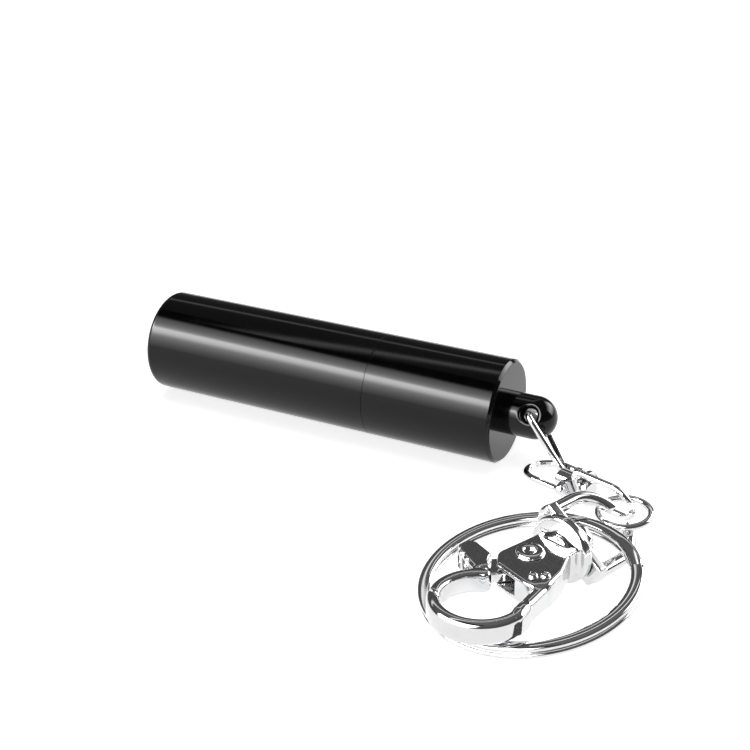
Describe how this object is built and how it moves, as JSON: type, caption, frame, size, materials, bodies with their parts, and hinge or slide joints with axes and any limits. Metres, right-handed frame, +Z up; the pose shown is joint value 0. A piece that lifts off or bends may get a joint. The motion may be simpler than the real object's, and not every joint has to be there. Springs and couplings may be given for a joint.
{
  "type": "keychain flashlight",
  "caption": "Slim black aluminium button-cell torch with a wire link, swivel connector, trigger snap hook and split ring for keys.",
  "frame": {"origin": "centre of the torch's front rim, on the torch axis", "axes": "the beam points along -X, +X runs to the tail and the keyring post, +Z is up, and the table is at z = -7 mm"},
  "size_m": [0.0795, 0.0516, 0.014],
  "materials": {
    "anodised_black": "gloss black anodised",
    "nickel": "bright nickel plate",
    "nickel_cast": "polished nickel-plated die casting",
    "spring_steel": "bright drawn wire",
    "cell_can": "nickel-plated can",
    "brass": "turned",
    "reflector_silver": "vacuum metallised",
    "lens_clear": "clear polished",
    "seal_rubber": "matte",
    "led_phosphor": "domed",
    "board_white": "solder mask"
  },
  "bodies": {
    "tail": {"tail_tube": "anodised_black", "neck_seal": "seal_rubber", "tail_spring": "spring_steel"},
    "cells": {"cell_1": "cell_can", "cell_2": "cell_can", "cell_3": "cell_can", "cell_4": "cell_can"},
    "head": {"head_tube": "anodised_black", "lens_gasket": "seal_rubber", "lens": "lens_clear", "reflector": "reflector_silver", "led": "led_phosphor", "led_board": "board_white", "board_ring": "brass", "front_contact": "brass"},
    "link": {"post_link": "nickel"},
    "swivel_a": {"swivel_bail_a": "nickel", "swivel_pin": "nickel"},
    "swivel_b": {"swivel_bail_b": "nickel"},
    "jump_ring": {"jump_ring": "nickel"},
    "eye": {"hook_eye": "nickel_cast"},
    "hook": {"hook_body": "nickel_cast", "hook_stud": "nickel", "gate_rivet": "nickel", "gate_spring": "spring_steel", "stop_pin": "nickel"},
    "gate": {"gate_lever": "nickel_cast"},
    "ring": {"split_ring": "nickel"}
  },
  "joints": [
    {"name": "cell_travel", "type": "slide", "parent": "tail", "child": "cells", "axis": [-1, 0, 0], "range_m": [0, 0.00375], "deforming": ["tail_spring"]},
    {"name": "head_twist", "type": "hinge", "parent": "cells", "child": "head", "pos_m": [0, 0, 0], "axis": [-1, 0, 0], "range_deg": [0, 1800]},
    {"name": "link_swing", "type": "hinge", "parent": "tail", "child": "link", "pos_m": [0.0562, 0, 0], "axis": [0, 0.8387, -0.5446], "range_deg": [-60, 30]},
    {"name": "swivel_swing", "type": "hinge", "parent": "link", "child": "swivel_a", "pos_m": [0.06166, -0.00319, -0.00491], "axis": [0, 0.8387, -0.5446], "range_deg": [-60, 3]},
    {"name": "swivel_turn", "type": "hinge", "parent": "swivel_a", "child": "swivel_b", "pos_m": [0.06537, -0.00821, -0.00355], "axis": [0.9035, -0.4194, 0.0889], "continuous": true},
    {"name": "jump_ring_swing", "type": "hinge", "parent": "swivel_b", "child": "jump_ring", "pos_m": [0.07296, -0.01173, -0.0028], "axis": [-0.2325, -0.3051, 0.9235], "range_deg": [-20, 60]},
    {"name": "eye_swing", "type": "hinge", "parent": "jump_ring", "child": "eye", "pos_m": [0.07243, -0.01478, -0.00258], "axis": [-0.7846, 0.322, 0.5299], "range_deg": [-10, 15]},
    {"name": "hook_turn", "type": "hinge", "parent": "eye", "child": "hook", "pos_m": [0.06893, -0.02345, -0.0025], "axis": [0.3746, 0.9271, -0.0087], "range_deg": [-15, 1]},
    {"name": "gate_press", "type": "hinge", "parent": "hook", "child": "gate", "pos_m": [0.06651, -0.02916, -0.00245], "axis": [-0.0291, 0.0212, 0.9994], "range_deg": [0, 24], "stiffness_Nm_per_rad": 0.02, "springref_deg": -20.05, "deforming": ["gate_spring"]},
    {"name": "ring_swing", "type": "hinge", "parent": "eye", "child": "ring", "pos_m": [0.07243, -0.01478, -0.00258], "axis": [-0.7846, 0.322, 0.5299], "range_deg": [-9, 0]}
  ],
  "couplings": [
    {"joint": "head_twist", "follows": "cell_travel", "rad_per_m": 8377.6}
  ]
}
